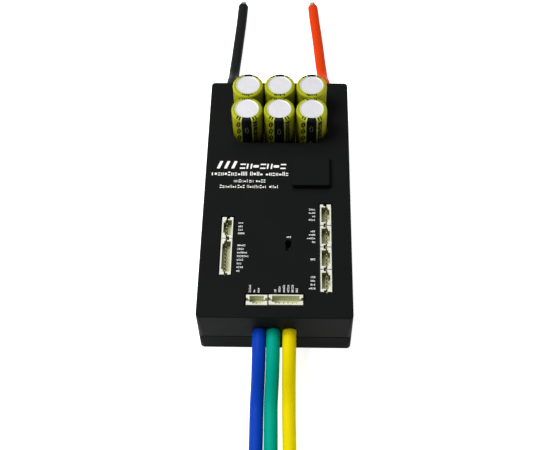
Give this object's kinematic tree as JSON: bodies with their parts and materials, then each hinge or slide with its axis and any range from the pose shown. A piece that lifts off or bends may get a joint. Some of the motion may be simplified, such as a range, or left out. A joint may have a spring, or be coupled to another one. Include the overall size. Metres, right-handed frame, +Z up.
{
  "type": "electronic speed controller",
  "caption": "Flat black motor controller with capacitors standing out of its cover, ivory pin headers, three phase leads and two battery leads.",
  "frame": {"origin": "middle of the case's flat underside, on the surface it stands on", "axes": "+Y along the case's length towards the battery leads, +X to the right seen from the phase leads, +Z up out of the cover"},
  "size_m": [0.072, 0.3307, 0.0478],
  "materials": {
    "case_base": "black anodised, fine bead-blasted grain",
    "case_cover": "satin black, fine moulded grain",
    "pad": "soft grey silicone",
    "metal_core": "white solder mask on aluminium",
    "chip": "moulded epoxy",
    "shunt": "rolled alloy",
    "ceramic": "fired",
    "copper": "bare copper",
    "board": "green solder mask",
    "can": "drawn aluminium, satin",
    "sleeve": "lime shrink sleeve with a black stripe",
    "seal_rubber": "moulded",
    "winding": "rolled foil and paper",
    "tinned": "tinned copper strands",
    "brass": "turned",
    "screw_steel": "zinc plated",
    "screw_black": "black oxide",
    "black_nylon": "moulded",
    "gold_pin": "plated",
    "ferrite": "pressed powder",
    "crystal_can": "lidded metal can",
    "light": "clear moulded lens",
    "ivory_nylon": "moulded nylon, slightly satin",
    "silicone_blue": "smooth silicone",
    "silicone_green": "smooth silicone",
    "silicone_yellow": "smooth silicone",
    "silicone_black": "smooth silicone",
    "silicone_red": "smooth silicone",
    "legend_ink": "white pad print",
    "stripe_ink": "black print on the sleeve"
  },
  "bodies": {
    "root": {"base_plate": "case_base", "top_cover": "case_cover", "thermal_pad": "pad", "power_board": "metal_core", "power_transistors": "chip", "microcontroller": "chip", "gate_drivers": "chip", "voltage_regulator": "chip", "current_shunts": "shunt", "ceramic_capacitors": "ceramic", "phase_terminals": "copper", "bus_posts": "copper", "battery_bar_negative": "copper", "battery_bar_positive": "copper", "capacitor_board": "board", "control_board": "board", "capacitor_can_1": "can", "capacitor_sleeve_1": "sleeve", "capacitor_can_2": "can", "capacitor_sleeve_2": "sleeve", "capacitor_can_3": "can", "capacitor_sleeve_3": "sleeve", "capacitor_can_4": "can", "capacitor_sleeve_4": "sleeve", "capacitor_can_5": "can", "capacitor_sleeve_5": "sleeve", "capacitor_can_6": "can", "capacitor_sleeve_6": "sleeve", "capacitor_seals": "seal_rubber", "capacitor_windings": "winding", "capacitor_wires": "tinned", "board_standoffs": "brass", "board_screws": "screw_steel", "cover_screws": "screw_black", "stack_header": "black_nylon", "stack_header_pins": "gold_pin", "header_pins": "gold_pin", "buck_inductor": "ferrite", "crystal": "crystal_can", "status_lights": "light", "pin_header_1": "ivory_nylon", "pin_header_2": "ivory_nylon", "pin_header_3": "ivory_nylon", "pin_header_4": "ivory_nylon", "pin_header_5": "ivory_nylon", "pin_header_6": "ivory_nylon", "pin_header_7": "ivory_nylon", "pin_header_8": "ivory_nylon", "phase_a_lead": "silicone_blue", "phase_a_end": "tinned", "phase_b_lead": "silicone_green", "phase_b_end": "tinned", "phase_c_lead": "silicone_yellow", "phase_c_end": "tinned", "battery_minus_lead": "silicone_black", "battery_minus_end": "tinned", "battery_plus_lead": "silicone_red", "battery_plus_end": "tinned", "inner_conductors": "tinned"}
  },
  "joints": []
}
